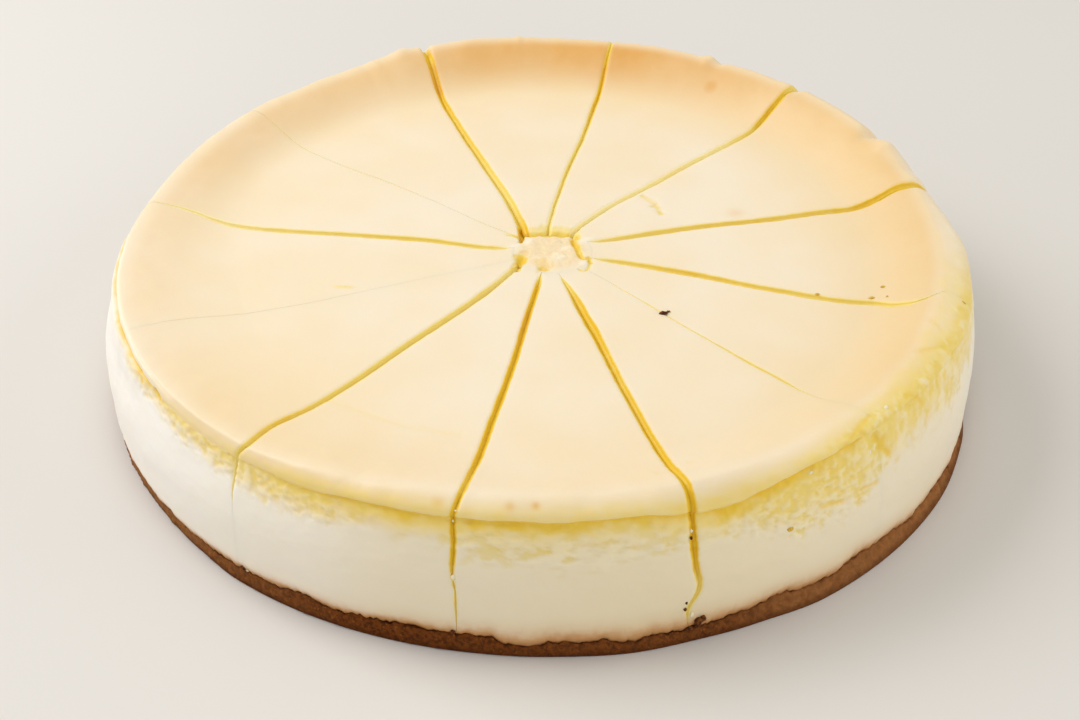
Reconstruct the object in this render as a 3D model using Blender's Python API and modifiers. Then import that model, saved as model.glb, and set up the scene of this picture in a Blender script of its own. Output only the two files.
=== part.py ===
# Baked cheesecake on a thin crumb base, cut into slices that still stand together round a small core.
# Metres, +Z up. The origin is the middle of the underside, and -Y is the front.

import math

import bmesh
import bpy
from mathutils import Vector

TURN_STEPS = 120            # flats round the whole cake

# The crumb base
BASE_RADIUS = 0.1258
BASE_HEIGHT = 0.0042        # at the middle, and on average at the edge
BASE_WAVE = 0.0012          # how far the crumb's upper edge wanders up and down
BASE_CHAMFER = 0.0008

# The filling: a dished top with a raised rim over a side that swells a little
SIDE_RADIUS = 0.127         # widest ring
SIDE_WIDEST_HEIGHT = 0.022
LIP_RADIUS = 0.1220         # outer edge of the rim
LIP_DEPTH = 0.0055          # from the rim's crest down to the underside of its lip
CREVICE = 0.0011            # how far the crevice under the lip goes in
CREST_RADIUS = 0.1170       # highest ring of the rim
MEAN_RIM_HEIGHT = 0.0460
MIDDLE_HEIGHT = 0.0396      # the flat middle of the top
MIDDLE_RADIUS = 0.0900      # where the top starts to climb to the rim
CLIMB_STEPS = 6

# The core that the cuts stop at, a little to the right of the cake's axis
CORE_PLACE = Vector((0.0035, 0.0, 0.0))
CORE_RADIUS = 0.0115
CORE_PROUD = 0.0016         # how far it stands above the middle of the top
CORE_STEPS = 28

TOUCH_GAP = 0.0003          # between pieces that touch
BASE_CUT_SHARE = 0.35       # the crumb's cuts against the filling's

# Each cut: its direction in degrees, how far it passes to the left of the cake's axis,
# how wide it stands open, and the height of the rim there.
CUTS = [
    (13.0, 0.0020, 0.0014, 0.0470),
    (45.0, 0.0027, 0.0011, 0.0485),
    (78.0, 0.0016, 0.0009, 0.0496),
    (110.0, 0.0003, 0.0014, 0.0492),
    (142.5, -0.0015, 0.0004, 0.0465),
    (172.0, -0.0004, 0.0010, 0.0445),
    (200.0, 0.0016, 0.0003, 0.0428),
    (231.0, 0.0016, 0.0011, 0.0422),
    (259.5, 0.0027, 0.0012, 0.0452),
    (286.5, 0.0024, 0.0014, 0.0448),
    (314.0, 0.0025, 0.0004, 0.0455),
    (343.0, 0.0013, 0.0014, 0.0465),
]
BLADE_REACH = 0.170         # the wedges run past the side
BLADE_BOTTOM = -0.010
BLADE_TOP = 0.070
ARC_STEPS = 4               # of a wedge's inner end, round the core


def clear_scene():
    for item in list(bpy.data.objects):
        bpy.data.objects.remove(item)


def make_collection(name):
    collection = bpy.data.collections.new(name)
    bpy.context.scene.collection.children.link(collection)
    return collection


def make_material(name, colour, roughness):
    material = bpy.data.materials.new(name)
    material.use_nodes = True
    shader = material.node_tree.nodes["Principled BSDF"]
    shader.inputs["Base Color"].default_value = (*colour, 1.0)
    shader.inputs["Roughness"].default_value = roughness
    shader.inputs["Metallic"].default_value = 0.0
    return material


def ease(t):
    t = min(max(t, 0.0), 1.0)
    return t * t * (3.0 - 2.0 * t)


def rim_height(azimuth):
    """The height of the rim's crest, eased from each cut to the next."""
    turn = math.degrees(azimuth) % 360.0
    for here, after in zip(CUTS, CUTS[1:] + CUTS[:1]):
        span = (after[0] - here[0]) % 360.0
        along = (turn - here[0]) % 360.0
        if along <= span:
            return here[3] + (after[3] - here[3]) * ease(along / span)
    return MEAN_RIM_HEIGHT


def crumb_height(azimuth, radius):
    """The upper face of the crumb base: flat in the middle, wavy at the edge."""
    wave = 0.6 * math.sin(5.0 * azimuth + 0.4) + 0.4 * math.sin(11.0 * azimuth + 2.0)
    return BASE_HEIGHT + BASE_WAVE * wave * ease((radius - MIDDLE_RADIUS) / (BASE_RADIUS - MIDDLE_RADIUS))


def turn_profile(name, profile, steps):
    """A mesh turned about Z from (radius, height) points that run down the outer side."""
    line = bpy.data.meshes.new(name + "_profile")
    points = [(radius, 0.0, height) for radius, height in profile]
    line.from_pydata(points, [(i, i + 1) for i in range(len(points) - 1)], [])
    carrier = bpy.data.objects.new(name + "_profile", line)
    bpy.context.scene.collection.objects.link(carrier)
    screw = carrier.modifiers.new("turn", "SCREW")
    screw.steps = steps
    screw.render_steps = steps
    screw.use_merge_vertices = True
    screw.merge_threshold = 0.00001
    depsgraph = bpy.context.evaluated_depsgraph_get()
    mesh = bpy.data.meshes.new_from_object(carrier.evaluated_get(depsgraph))
    mesh.name = name
    bpy.data.objects.remove(carrier)
    return mesh


def smooth(mesh):
    mesh.shade_smooth()
    mesh.set_sharp_from_angle(angle=math.radians(38.0))


def make_base_mesh():
    """The whole crumb base, before it is cut."""
    profile = [
        (0.0, BASE_HEIGHT),
        (MIDDLE_RADIUS, BASE_HEIGHT),
        (BASE_RADIUS - 2.0 * BASE_CHAMFER, BASE_HEIGHT),
        (BASE_RADIUS, BASE_HEIGHT - BASE_CHAMFER),
        (BASE_RADIUS, BASE_CHAMFER),
        (BASE_RADIUS - BASE_CHAMFER, 0.0),
        (0.0, 0.0),
    ]
    mesh = turn_profile("base_whole", profile, TURN_STEPS)
    for vertex in mesh.vertices:
        if vertex.co.z > 2.0 * BASE_CHAMFER:
            azimuth = math.atan2(vertex.co.y, vertex.co.x)
            vertex.co.z += crumb_height(azimuth, math.hypot(vertex.co.x, vertex.co.y)) - BASE_HEIGHT
    smooth(mesh)
    return mesh


def filling_profile():
    """The filling's section at the mean rim height, from the top's middle to the underside's."""
    rise = MEAN_RIM_HEIGHT - MIDDLE_HEIGHT
    crevice_height = MEAN_RIM_HEIGHT - LIP_DEPTH
    bottom = BASE_HEIGHT + TOUCH_GAP
    points = [(0.0, MIDDLE_HEIGHT), (MIDDLE_RADIUS, MIDDLE_HEIGHT)]
    for step in range(1, CLIMB_STEPS):
        share = step / CLIMB_STEPS
        radius = MIDDLE_RADIUS + share * (CREST_RADIUS - MIDDLE_RADIUS)
        points.append((radius, MIDDLE_HEIGHT + rise * ease(share) ** 1.2))
    points += [
        (CREST_RADIUS, MEAN_RIM_HEIGHT),
        (CREST_RADIUS + 0.55 * (LIP_RADIUS - CREST_RADIUS), MEAN_RIM_HEIGHT - 0.22 * LIP_DEPTH),
        (LIP_RADIUS, MEAN_RIM_HEIGHT - 0.65 * LIP_DEPTH),
        (LIP_RADIUS, MEAN_RIM_HEIGHT - 0.9 * LIP_DEPTH),
        (LIP_RADIUS - CREVICE, crevice_height),
        (LIP_RADIUS + 0.3 * CREVICE, crevice_height - 1.2 * CREVICE),
        (0.5 * (LIP_RADIUS + SIDE_RADIUS), 0.5 * (crevice_height + SIDE_WIDEST_HEIGHT) + CREVICE),
        (SIDE_RADIUS, SIDE_WIDEST_HEIGHT),
        (0.5 * (SIDE_RADIUS + BASE_RADIUS) + 0.0003, 0.5 * SIDE_WIDEST_HEIGHT),
        (BASE_RADIUS, bottom),
        (MIDDLE_RADIUS, bottom),
        (0.0, bottom),
    ]
    return points


def make_filling_mesh():
    """The whole filling, before it is cut: its rim rises and falls, and its underside fits the crumb."""
    mesh = turn_profile("filling_whole", filling_profile(), TURN_STEPS)
    for vertex in mesh.vertices:
        azimuth = math.atan2(vertex.co.y, vertex.co.x)
        radius = math.hypot(vertex.co.x, vertex.co.y)
        height = vertex.co.z
        if height < BASE_HEIGHT + 2.0 * TOUCH_GAP:
            vertex.co.z += crumb_height(azimuth, radius) - BASE_HEIGHT
            continue
        if height < MIDDLE_HEIGHT - TOUCH_GAP:
            share = ease((height - SIDE_WIDEST_HEIGHT) / (MIDDLE_HEIGHT - SIDE_WIDEST_HEIGHT))
        else:
            share = ease((radius - MIDDLE_RADIUS) / (CREST_RADIUS - MIDDLE_RADIUS))
        vertex.co.z += share * (rim_height(azimuth) - MEAN_RIM_HEIGHT)
    smooth(mesh)
    return mesh


def line_through(cut, shift):
    """A point of a cut's side and its direction: shift moves the side to the left of the cut."""
    azimuth = math.radians(cut[0])
    along = Vector((math.cos(azimuth), math.sin(azimuth), 0.0))
    left = Vector((-along.y, along.x, 0.0))
    return left * (cut[1] + shift), along


def meet_core(point, along, radius):
    """Where a cut's side leaves the circle of that radius round the core."""
    offset = point - CORE_PLACE
    middle = -offset.dot(along)
    half_chord = math.sqrt(middle * middle - offset.length_squared + radius * radius)
    return point + along * (middle + half_chord)


def make_wedge(name, first, second, share, collection):
    """The cutter that keeps one slice: the space between two cuts, outside the core."""
    shift_first = max(0.5 * share * first[2], 0.5 * TOUCH_GAP)
    shift_second = max(0.5 * share * second[2], 0.5 * TOUCH_GAP)
    inner_radius = CORE_RADIUS + TOUCH_GAP
    start, start_along = line_through(first, shift_first)
    end, end_along = line_through(second, -shift_second)
    near_start = meet_core(start, start_along, inner_radius)
    near_end = meet_core(end, end_along, inner_radius)
    from_core = near_start - CORE_PLACE
    to_core = near_end - CORE_PLACE
    sweep = (math.atan2(to_core.y, to_core.x) - math.atan2(from_core.y, from_core.x)) % math.tau
    outline = [start + start_along * BLADE_REACH, end + end_along * BLADE_REACH, near_end]
    for step in range(1, ARC_STEPS):
        azimuth = math.atan2(to_core.y, to_core.x) - sweep * step / ARC_STEPS
        outline.append(CORE_PLACE + inner_radius * Vector((math.cos(azimuth), math.sin(azimuth), 0.0)))
    outline.append(near_start)

    bm = bmesh.new()
    floor = bm.faces.new([bm.verts.new((p.x, p.y, BLADE_BOTTOM)) for p in outline])
    grown = bmesh.ops.extrude_face_region(bm, geom=[floor])
    top = [item for item in grown["geom"] if isinstance(item, bmesh.types.BMVert)]
    bmesh.ops.translate(bm, verts=top, vec=(0.0, 0.0, BLADE_TOP - BLADE_BOTTOM))
    bmesh.ops.recalc_face_normals(bm, faces=bm.faces)
    mesh = bpy.data.meshes.new(name)
    bm.to_mesh(mesh)
    bm.free()
    wedge = bpy.data.objects.new(name, mesh)
    collection.objects.link(wedge)
    wedge.hide_render = True
    wedge.display_type = "WIRE"
    return wedge


def add_part(name, mesh, material, collection, parent):
    part = bpy.data.objects.new(name, mesh)
    if not mesh.materials:
        mesh.materials.append(material)
    collection.objects.link(part)
    part.parent = parent
    return part


def make_slices(kind, whole, material, share, collection, cutters, parent):
    """One object for each slice: the whole layer, kept only inside that slice's wedge."""
    for number, (first, second) in enumerate(zip(CUTS, CUTS[1:] + CUTS[:1]), start=1):
        part = add_part(f"{kind}_{number:02d}", whole, material, collection, parent)
        keep = part.modifiers.new("keep", "BOOLEAN")
        keep.operation = "INTERSECT"
        keep.solver = "EXACT"
        keep.object = make_wedge(f"{kind}_wedge_{number:02d}", first, second, share, cutters)


def make_core(kind, profile, material, collection, parent):
    mesh = turn_profile(f"{kind}_core", profile, CORE_STEPS)
    smooth(mesh)
    core = add_part(f"{kind}_core", mesh, material, collection, parent)
    core.location = CORE_PLACE
    return core


def main():
    clear_scene()
    parts = make_collection("cheesecake")
    cutters = make_collection("cutters")
    cake = bpy.data.objects.new("cheesecake", None)
    parts.objects.link(cake)

    filling = make_material("filling", (0.91, 0.77, 0.53), 0.45)
    crumb = make_material("crumb", (0.17, 0.065, 0.025), 0.9)

    make_slices("filling", make_filling_mesh(), filling, 1.0, parts, cutters, cake)
    make_slices("base", make_base_mesh(), crumb, BASE_CUT_SHARE, parts, cutters, cake)

    core_top = MIDDLE_HEIGHT + CORE_PROUD
    core_bottom = BASE_HEIGHT + TOUCH_GAP
    make_core("filling", [
        (0.0, core_top),
        (0.55 * CORE_RADIUS, core_top),
        (0.85 * CORE_RADIUS, core_top - 0.35 * CORE_PROUD),
        (CORE_RADIUS, core_top - 1.3 * CORE_PROUD),
        (CORE_RADIUS, core_bottom),
        (0.0, core_bottom),
    ], filling, parts, cake)
    make_core("base", [(0.0, BASE_HEIGHT), (CORE_RADIUS, BASE_HEIGHT), (CORE_RADIUS, 0.0), (0.0, 0.0)],
              crumb, parts, cake)


main()
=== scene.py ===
import math

import bpy
import numpy as np
from mathutils import Matrix, Vector, noise


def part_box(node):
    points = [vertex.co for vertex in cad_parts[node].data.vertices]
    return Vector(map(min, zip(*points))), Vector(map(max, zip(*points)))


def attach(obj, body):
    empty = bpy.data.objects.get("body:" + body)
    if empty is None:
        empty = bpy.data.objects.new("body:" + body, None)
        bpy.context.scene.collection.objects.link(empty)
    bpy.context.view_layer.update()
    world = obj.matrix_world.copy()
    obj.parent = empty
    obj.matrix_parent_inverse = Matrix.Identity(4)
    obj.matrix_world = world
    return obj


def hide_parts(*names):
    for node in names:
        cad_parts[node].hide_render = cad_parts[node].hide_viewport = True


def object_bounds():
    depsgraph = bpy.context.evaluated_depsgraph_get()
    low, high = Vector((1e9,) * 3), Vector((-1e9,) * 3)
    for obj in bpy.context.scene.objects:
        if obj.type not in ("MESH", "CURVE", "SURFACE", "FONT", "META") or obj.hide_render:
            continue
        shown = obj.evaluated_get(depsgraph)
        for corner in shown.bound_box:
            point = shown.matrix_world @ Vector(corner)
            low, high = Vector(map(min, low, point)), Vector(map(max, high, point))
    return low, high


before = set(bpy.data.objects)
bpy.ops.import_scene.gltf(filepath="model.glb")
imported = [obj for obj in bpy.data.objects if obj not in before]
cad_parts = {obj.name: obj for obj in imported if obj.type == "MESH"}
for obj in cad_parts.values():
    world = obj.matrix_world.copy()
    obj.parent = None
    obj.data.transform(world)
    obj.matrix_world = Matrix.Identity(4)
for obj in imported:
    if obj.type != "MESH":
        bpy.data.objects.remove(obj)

cadLow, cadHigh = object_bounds()
mm = 0.001  # shapes are worked out in millimetres and become metres when a mesh is made
seedStep = dict(grain=13.7, cells=5.3)  # how far apart in the noise two seeds lie


def ease(t):
    t = np.clip(t, 0.0, 1.0)
    return t * t * (3.0 - 2.0 * t)


def bell(distance, width):
    return np.exp(-(distance / width) ** 2)


def stretchAt(places, where):
    # which stretch between two places it lies in, and how far along that
    here = np.clip(np.searchsorted(places, where, side="right") - 1, 0, len(places) - 2)
    return here, (where - places[here]) / (places[here + 1] - places[here])


def around(keys, azimuth):
    # a value eased between (azimuth, value) pairs that close on themselves
    turns, values = np.array(sorted(keys)).T
    turns = np.append(turns, turns[0] + 360.0)
    values = np.append(values, values[0])
    here, share = stretchAt(turns, (np.asarray(azimuth) - turns[0]) % 360.0 + turns[0])
    return values[here] + (values[here + 1] - values[here]) * ease(share)


def through(places, values, where):
    # a smooth curve through the values at those places, held level past its ends
    places, values = np.asarray(places, dtype=float), np.asarray(values, dtype=float)
    slopes = np.gradient(values, places, axis=0)
    here, t = stretchAt(places, np.clip(where, places[0], places[-1]))
    a = 2 * t ** 3 - 3 * t ** 2 + 1
    b = t ** 3 - 2 * t ** 2 + t
    c = t ** 3 - t ** 2
    return (
        a * values[here] + (1 - a) * values[here + 1]
        + (places[here + 1] - places[here]) * (b * slopes[here] + c * slopes[here + 1])
    )


def perPlace(places, size, measure):
    # a measure of noise at each place, with places counted in lumps of that size in mm
    flat = np.asarray(places, dtype=float).reshape(-1, 3) / np.broadcast_to(size, (3,))
    return np.array([measure(*place) for place in flat.tolist()]).reshape(np.asarray(places).shape[:-1])


def grain(places, size, seed, octaves):
    # soft noise from about -1 to 1
    shift = seed * seedStep["grain"]
    roughness, gap = 1.0, 2.0
    return perPlace(places, size, lambda x, y, z: noise.fractal(
        (x + shift, y - shift, z + 0.5 * shift), roughness, gap, octaves
    ))


def cells(places, size, seed):
    # how far a place lies from the nearest lump: 0 on it, up to 1 between lumps
    shift = seed * seedStep["cells"]
    return perPlace(places, size, lambda x, y, z: noise.voronoi((x + shift, y, z - shift))[0][0])


def lineDistance(places, line):
    # how far places (x, y) lie from a line of points
    best = np.full(places.shape[:-1], 1e3)
    for start, end in zip(line, line[1:]):
        start, end = np.array(start, dtype=float), np.array(end, dtype=float)
        along = end - start
        share = np.clip(((places - start) @ along) / (along @ along), 0.0, 1.0)
        best = np.minimum(best, np.linalg.norm(places - start - share[..., None] * along, axis=-1))
    return best


def laidOver(golden, amber, gold, goldAmber):
    # golden colour over what is there, with its own amber where it is the stronger
    return np.maximum(golden, gold), np.where(gold > golden, goldAmber, amber)


def directions(azimuth):
    # outward and leftward at an azimuth
    turn = math.radians(azimuth)
    return np.array([math.cos(turn), math.sin(turn), 0.0]), np.array([-math.sin(turn), math.cos(turn), 0.0])


def named(names, rows):
    return [dict(zip(names.split(), row)) for row in rows]


coreLow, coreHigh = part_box("filling_core")
coreX, coreY = [(coreLow[i] + coreHigh[i]) / 2 / mm for i in (0, 1)]

cake = dict(
    sideRadius=(cadHigh.x - cadLow.x) / 2 / mm,
    top=cadHigh.z / mm,
    coreRadius=(coreHigh.x - coreLow.x) / 2 / mm,
    middleHeight=coreHigh.z / mm - 1.6,     # the flat of the top, just under the core's crown
    crumbHeight=coreLow.z / mm,
    crumbRadius=126.3,
    crumbBend=112.0,                        # from here out the top of the crumb bends to its edge
    leastCrumb=0.9,
    closedGap=0.012,                        # between pieces that touch
    boxGap=0.02,                            # between the relief and the box of the solids
    ringsTurnRound=60.0,                    # rings out to here drift from the core's middle to the cake's
)

# Places along the skin, from the axis out over the rim and down to the foot
skin = dict(climb=90.0, crest=117.0, shoulder=120.2, lip=123.0, underLip=124.4, crevice=125.8,
            torn=127.6, upperSide=134.0, widest=145.0, lowerSide=155.5, foot=161.0, corner=162.2)

# Each cut: azimuth, how far it passes to the left of the axis, how it bends from that line as
# (place along the skin, mm) pairs, and at each place in cutPlaces how wide it stands open and how
# deep its golden colour is, from pale to amber. Both are 0 where their values run out.
cutPlaces = (12, 16, 24, 60, 94, 106, 118, 127, 136, 144, 151, 162)
cuts = [
    dict(azimuth=13, offset=2,
         bend=((12, -0.1), (20, 0.2), (36, 1.2), (56, 1.4), (74, 0.8), (88, 1.3), (103, 0.3), (112, 0.4)),
         open=(0.3, 1.3, 1.9, 2.1, 2.4, 2.4, 2.4, 1.6, 1, 0.8, 0.6),
         gold=(0.1, 0.3, 0.4, 0.6, 0.65, 0.8, 0.75, 0.5, 0.3, 0.3, 0.3, 0.3)),
    dict(azimuth=45, offset=2.7,
         bend=((12, -1.3), (22, -0.2), (56, 0.5), (80, 0.6), (98, 0.1), (112, -0.3)),
         open=(1.2, 1.4, 1.5, 1.7, 1.7, 1.6, 1.5, 1, 0.7, 0.5, 0.4),
         gold=(0.3, 0.15, 0.1, 0.15, 0.35, 0.9, 0.6, 0.4, 0.3, 0.3, 0.3, 0.3)),
    dict(azimuth=78, offset=1.6,
         bend=((12, -1.1), (24, -0.3), (36, 0.1), (80, -0.4), (92, 0), (112, -0.3)),
         open=(0.9, 0.9, 0.9, 1, 1.1, 0.9, 0.7, 0.7, 0.5, 0.4, 0.4),
         gold=(0.6, 0.3, 0.3, 0.5, 0.8, 0.95, 0.5, 0.4, 0.3, 0.3, 0.3, 0.3)),
    dict(azimuth=110, offset=0.3,
         bend=((12, 0.3), (20, -0.2), (52, -0.8), (74, -0.3), (98, -0.7), (112, -1)),
         open=(1.9, 2.4, 2.4, 2.1, 1.8, 1.9, 2.3, 1.6, 1, 0.8, 0.6),
         gold=(1, 0.8, 0.6, 0.65, 0.8, 1, 0.7, 0.5, 0.3, 0.3, 0.3, 0.3)),
    dict(azimuth=142.5, offset=-1.5,
         bend=((12, -1.1), (26, 0.1), (46, -0.7), (60, -0.4), (72, 0.4), (94, 0.8), (112, 0.2)),
         open=(1, 0.4, 0.25, 0.28, 0.25, 0.3, 0.1, 0.05),
         gold=(0.6, 0.1, 0, 0, 0, 0.1)),
    dict(azimuth=172, offset=-0.4,
         bend=((12, 0), (20, 0.4), (34, -1), (56, -0.2), (92, 0), (105, -2.2)),
         open=(0.1, 1.3, 1.7, 1.9, 1.7, 0.8, 0.2),
         gold=(0.2, 0.3, 0.45, 0.35, 0.15)),
    dict(azimuth=200, offset=1.6,
         bend=((12, 0), (50, 1), (71, 2), (84, 1.6), (101, 0.4), (117, 2.4)),
         open=(0, 0, 0, 0.1, 0.18, 0.18),
         gold=(0,)),
    dict(azimuth=231, offset=1.6,
         bend=((12, -2.2), (22, -0.7), (56, 0), (96, -0.1), (109, -1.1), (117, 0.2), (125, -1.6),
               (132, -1.2), (146, 0.6), (162, 0)),
         open=(1.8, 1.8, 1.9, 1.8, 1.5, 1.4, 1.4, 0.8, 0.4),
         gold=(0.5, 0.3, 0.35, 0.45, 0.6, 0.7, 0.6, 0.3, 0.1, 0, 0, 0.6)),
    dict(azimuth=259.5, offset=2.7,
         bend=((12, -0.3), (34, 0.1), (76, 0.4), (100, -0.1), (117, 0.1), (124.7, -1.3), (132, -0.6),
               (142, -0.4), (146, 0.3)),
         open=(0.2, 1, 1.3, 1.5, 1.5, 1.35, 1.2, 1.05, 0.9, 0.45, 0.5),
         gold=(0.3, 0.7, 0.85, 0.85, 0.85, 0.85, 0.75, 0.85, 0.8, 0.6, 0.5, 0.5)),
    dict(azimuth=286.5, offset=2.4,
         bend=((12, -0.8), (22, 0.2), (36, 0.7), (56, 0.4), (86, 0.4), (100, 1.1), (111, 0.4),
               (122, 0.9), (142, 1.1), (149.5, 2), (155, -0.3), (162, 0.2)),
         open=(0, 0.7, 1.8, 1.9, 1.8, 1.8, 1.9, 1.7, 1.4, 1.3, 1.1),
         gold=(0.2, 0.5, 0.7, 0.75, 0.8, 0.85, 0.85, 0.9, 0.85, 0.7, 0.4, 0.6)),
    dict(azimuth=314, offset=2.5,
         bend=((12, 0.3), (38, 0.9), (56, 0), (78, 0.7), (98, 0.6), (107, -0.4)),
         open=(0, 0.05, 0.25, 0.4, 0.45, 0.05),
         gold=(0, 0, 0.1, 0.25, 0.35, 0.1)),
    dict(azimuth=343, offset=1.3,
         bend=((12, -0.3), (24, 0.8), (48, 0.6), (68, -0.1), (92, 0.6), (97, 1.3), (104, -0.8),
               (110, -1.2), (114, 1), (118, 4.2)),
         open=(0.2, 1.3, 1.9, 2, 1.9, 1.6),
         gold=(0.1, 0.3, 0.5, 0.6, 0.5, 0.5)),
]

# The rim, each value by azimuth
rim = dict(
    # height of the crest
    height=[
        (0, 46.2), (8, 46), (14, 46.8), (20, 48), (33, 48.8), (41, 49.2), (58, 48.8), (70, 49.1),
        (79, 49), (87, 48.6), (93, 48.8), (103, 49.3), (114, 49.1), (118, 47.6), (121, 46.6),
        (126, 46.1), (142.5, 45.8), (160, 44.8), (172, 44), (185, 43.6), (200, 42.8), (215, 41.9),
        (231, 41.8), (245, 43.4), (259.5, 45), (286.5, 44.8), (314, 45.5), (343, 46.3),
    ],
    # azimuth, how far the crest stands up there, over how many degrees
    bumps=[
        (19, -1.2, 1.6), (24.2, 1.9, 1.7), (28.6, -2, 1.3), (45.4, -1.6, 0.9), (59.8, -0.8, 0.9),
        (62, 1.3, 0.9), (94, 0.5, 0.7), (101.5, 0.4, 3), (109.5, -2.6, 0.6), (113.6, 0.7, 1.2),
        (14, -0.7, 1),
    ],
    crestRadius=[
        (0, 115.2), (20, 115.8), (45, 116.8), (90, 117.8), (110, 117.4), (135, 116.4), (160, 115.8),
        (172, 117), (182, 119.2), (192, 120.2), (212, 120.6), (222, 120.2), (231, 119.4), (250, 117.6),
        (262, 117), (314, 117), (343, 115.8),
    ],
    # where the top begins to climb to the crest, and how late it does so
    climbFrom=[(0, 93), (150, 93), (175, 88), (200, 84), (225, 86), (245, 91), (270, 95)],
    climbShape=[(0, 1.2), (160, 1.2), (200, 1.1), (231, 1.2)],
    lipRadius=[
        (0, 123.6), (6, 122), (13, 121.2), (22, 121.9), (30, 122.3), (60, 122.3), (100, 122.2),
        (113, 121.8), (120, 121.2), (135, 121.2), (150, 120.4), (165, 119.6), (172, 120.2),
        (180, 121.2), (192, 121.9), (200, 122), (231, 121.6), (270, 122), (314, 122.2), (330, 122.8),
        (343, 124),
    ],
    # the crevice under the lip, and how deep it is cut in
    creviceHeight=[
        (0, 40), (90, 43), (160, 40.6), (185, 40.6), (200, 39.9), (212, 38.8), (226, 37.6), (240, 38.2),
        (251, 39.8), (262, 40), (266, 40.4), (271, 39.9), (277, 40.4), (282, 40.4), (287, 38.6),
        (290, 37.7), (294, 38.2), (297, 39.8), (300, 41), (305, 42.3), (311, 43), (320, 42.5),
        (335, 41),
    ],
    creviceDepth=[
        (0, 0.1), (90, 0.5), (172, 0.1), (182, -1.1), (207, -1.1), (214, 0), (219, -0.2), (236, 0.1),
        (248, 0.35), (258, 0.55), (285, 0.55), (300, 0.6), (308, 0.5), (316, 0.1),
    ],
    # the golden line in the crevice: its strength, how thick it is before it fades, in mm, and
    # how far above the crevice it starts
    goldLine=[
        (0, 0), (90, 0.1), (174, 0.1), (182, 0.7), (200, 0.85), (212, 0.9), (217, 0.3), (236, 0.4),
        (247, 0.9), (255, 1), (260, 0.5), (264, 1.1), (281, 1.1), (286, 0.7), (289.5, 1), (293, 1.2),
        (311, 1.2), (314, 0.4), (318, 0),
    ],
    lineReach=[
        (0, 0.5), (180, 2), (208, 2.2), (215, 0.9), (240, 1.4), (252, 1.8), (262, 2.8), (272, 2.8),
        (279, 1.9), (288, 1.6), (294, 2.6), (300, 2.7), (309, 2.5), (313, 1.3),
    ],
    lineRise=[(0, 0.2), (176, 0.8), (184, 2.4), (206, 2.4), (213, 1.2), (225, 0.2)],
    # how yellow and how much darker the lip grows towards the crevice: partly its own colour, partly painted
    # shade on its rounded edge, most at the front
    lipGold=[
        (0, 0.1), (40, 0.15), (90, 0.15), (190, 0), (211, 0), (219, 0.5), (232, 0.7), (240, 0.9),
        (252, 0.9), (262, 0.8), (286, 0.9), (300, 0.95), (312, 0.7), (325, 0.6), (345, 0.4),
    ],
    # strength of the yellow wash under the crevice, how far down it reaches, and how it fades:
    # evenly at 1, and where it is more the wash holds and then stops
    wash=[
        (0, 0.2), (15, 0), (90, 0.1), (170, 0.05), (200, 0.15), (210, 0.5), (217, 0.8), (231, 0.8),
        (240, 0.95), (252, 0.95), (262, 0.9), (285, 0.85), (292, 0.9), (300, 0.9), (312, 0.85),
        (325, 0.8), (340, 0.65), (350, 0.45),
    ],
    washDown=[
        (0, 8), (90, 5), (190, 3), (210, 4), (222, 5.5), (240, 7.5), (256, 7), (266, 11), (279, 11),
        (288, 9), (294, 8), (300, 15), (306, 18), (311, 19), (316, 13.5), (323, 12), (333, 14),
        (343, 11),
    ],
    washHold=[
        (0, 1.2), (222, 1.2), (235, 1.8), (256, 1.3), (264, 0.9), (283, 0.9), (292, 1.4), (300, 2.4),
        (343, 1.6),
    ],
    # how ragged that band is, and how much of it comes over the rim
    torn=[
        (0, 0.35), (15, 0), (198, 0), (213, 0.8), (245, 0.8), (256, 0.35), (264, 0.9), (283, 0.95),
        (289, 0.7), (297, 1), (335, 1), (350, 0.5),
    ],
    overRim=[(0, 0.3), (12, 0), (303, 0), (311, 0.6), (318, 1), (345, 0.9)],
    # the pale ridge along the lip at the left, partly a painted highlight where it catches the light, and the
    # pale outer face at the right
    ridge=[
        (0, 0.5), (16, 0.2), (30, 0), (175, 0), (184, 1), (210, 1), (216, 0.4), (220, 0), (330, 0),
        (345, 0.3),
    ],
)

# How high the crumb shows at the edge, by azimuth
crumbEdge = [
    (0, 3), (40, 3.4), (75, 4.8), (110, 4), (150, 4.6), (185, 3.8), (200, 4.4), (213, 4.6), (223, 4.2),
    (233, 4.6), (241, 5.6), (248, 4.8), (254, 5.6), (260, 5.2), (264.6, 5.4), (266.6, 3.2), (269, 2.6),
    (271.5, 4.2), (277, 4), (281, 2.6), (283.5, 3.6), (290, 3.9), (295, 4.3), (300, 5.5), (304, 4.3),
    (308, 3.6), (312, 5.8), (316, 4.4), (325, 3), (331, 3.4), (337, 1.9), (346, 1.4),
]

# How far the foot of the crumb reaches from the axis: it spreads at the right
crumbReach = [
    (0, 126.4), (120, 126.2), (200, 125.6), (216, 125.2), (224, 125.6), (231, 126.5), (262, 126.3),
    (272, 126.6), (281, 127.2), (289, 126.7), (296, 127), (306, 128.4), (330, 128.4), (342, 127.6),
    (350, 126.6),
]

# small ups and downs of the crumb's edge, every tenth of a degree
raggedWaves = [(0.9, 20.0, 4.0), (0.9, 63.0, 9.0), (0.45, 150.0, 2.0)]   # mm, pace and seed of each
raggedTurn = np.arange(0.0, 360.1, 0.1)
raggedEdge = np.array([
    sum(
        rise * noise.noise((pace * math.cos(t), pace * math.sin(t), seed))
        for rise, pace, seed in raggedWaves
    )
    for t in np.radians(raggedTurn)
])


def crumbEdgeAt(azimuth):
    ragged = np.interp(np.asarray(azimuth) % 360.0, raggedTurn, raggedEdge)
    return np.maximum(around(crumbEdge, azimuth) + ragged, cake["leastCrumb"])


def crumbTop(azimuth, radius):
    flat, bend = cake["crumbHeight"], cake["crumbBend"]
    return flat + (crumbEdgeAt(azimuth) - flat) * ease((radius - bend) / (cake["crumbRadius"] - bend))


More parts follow.
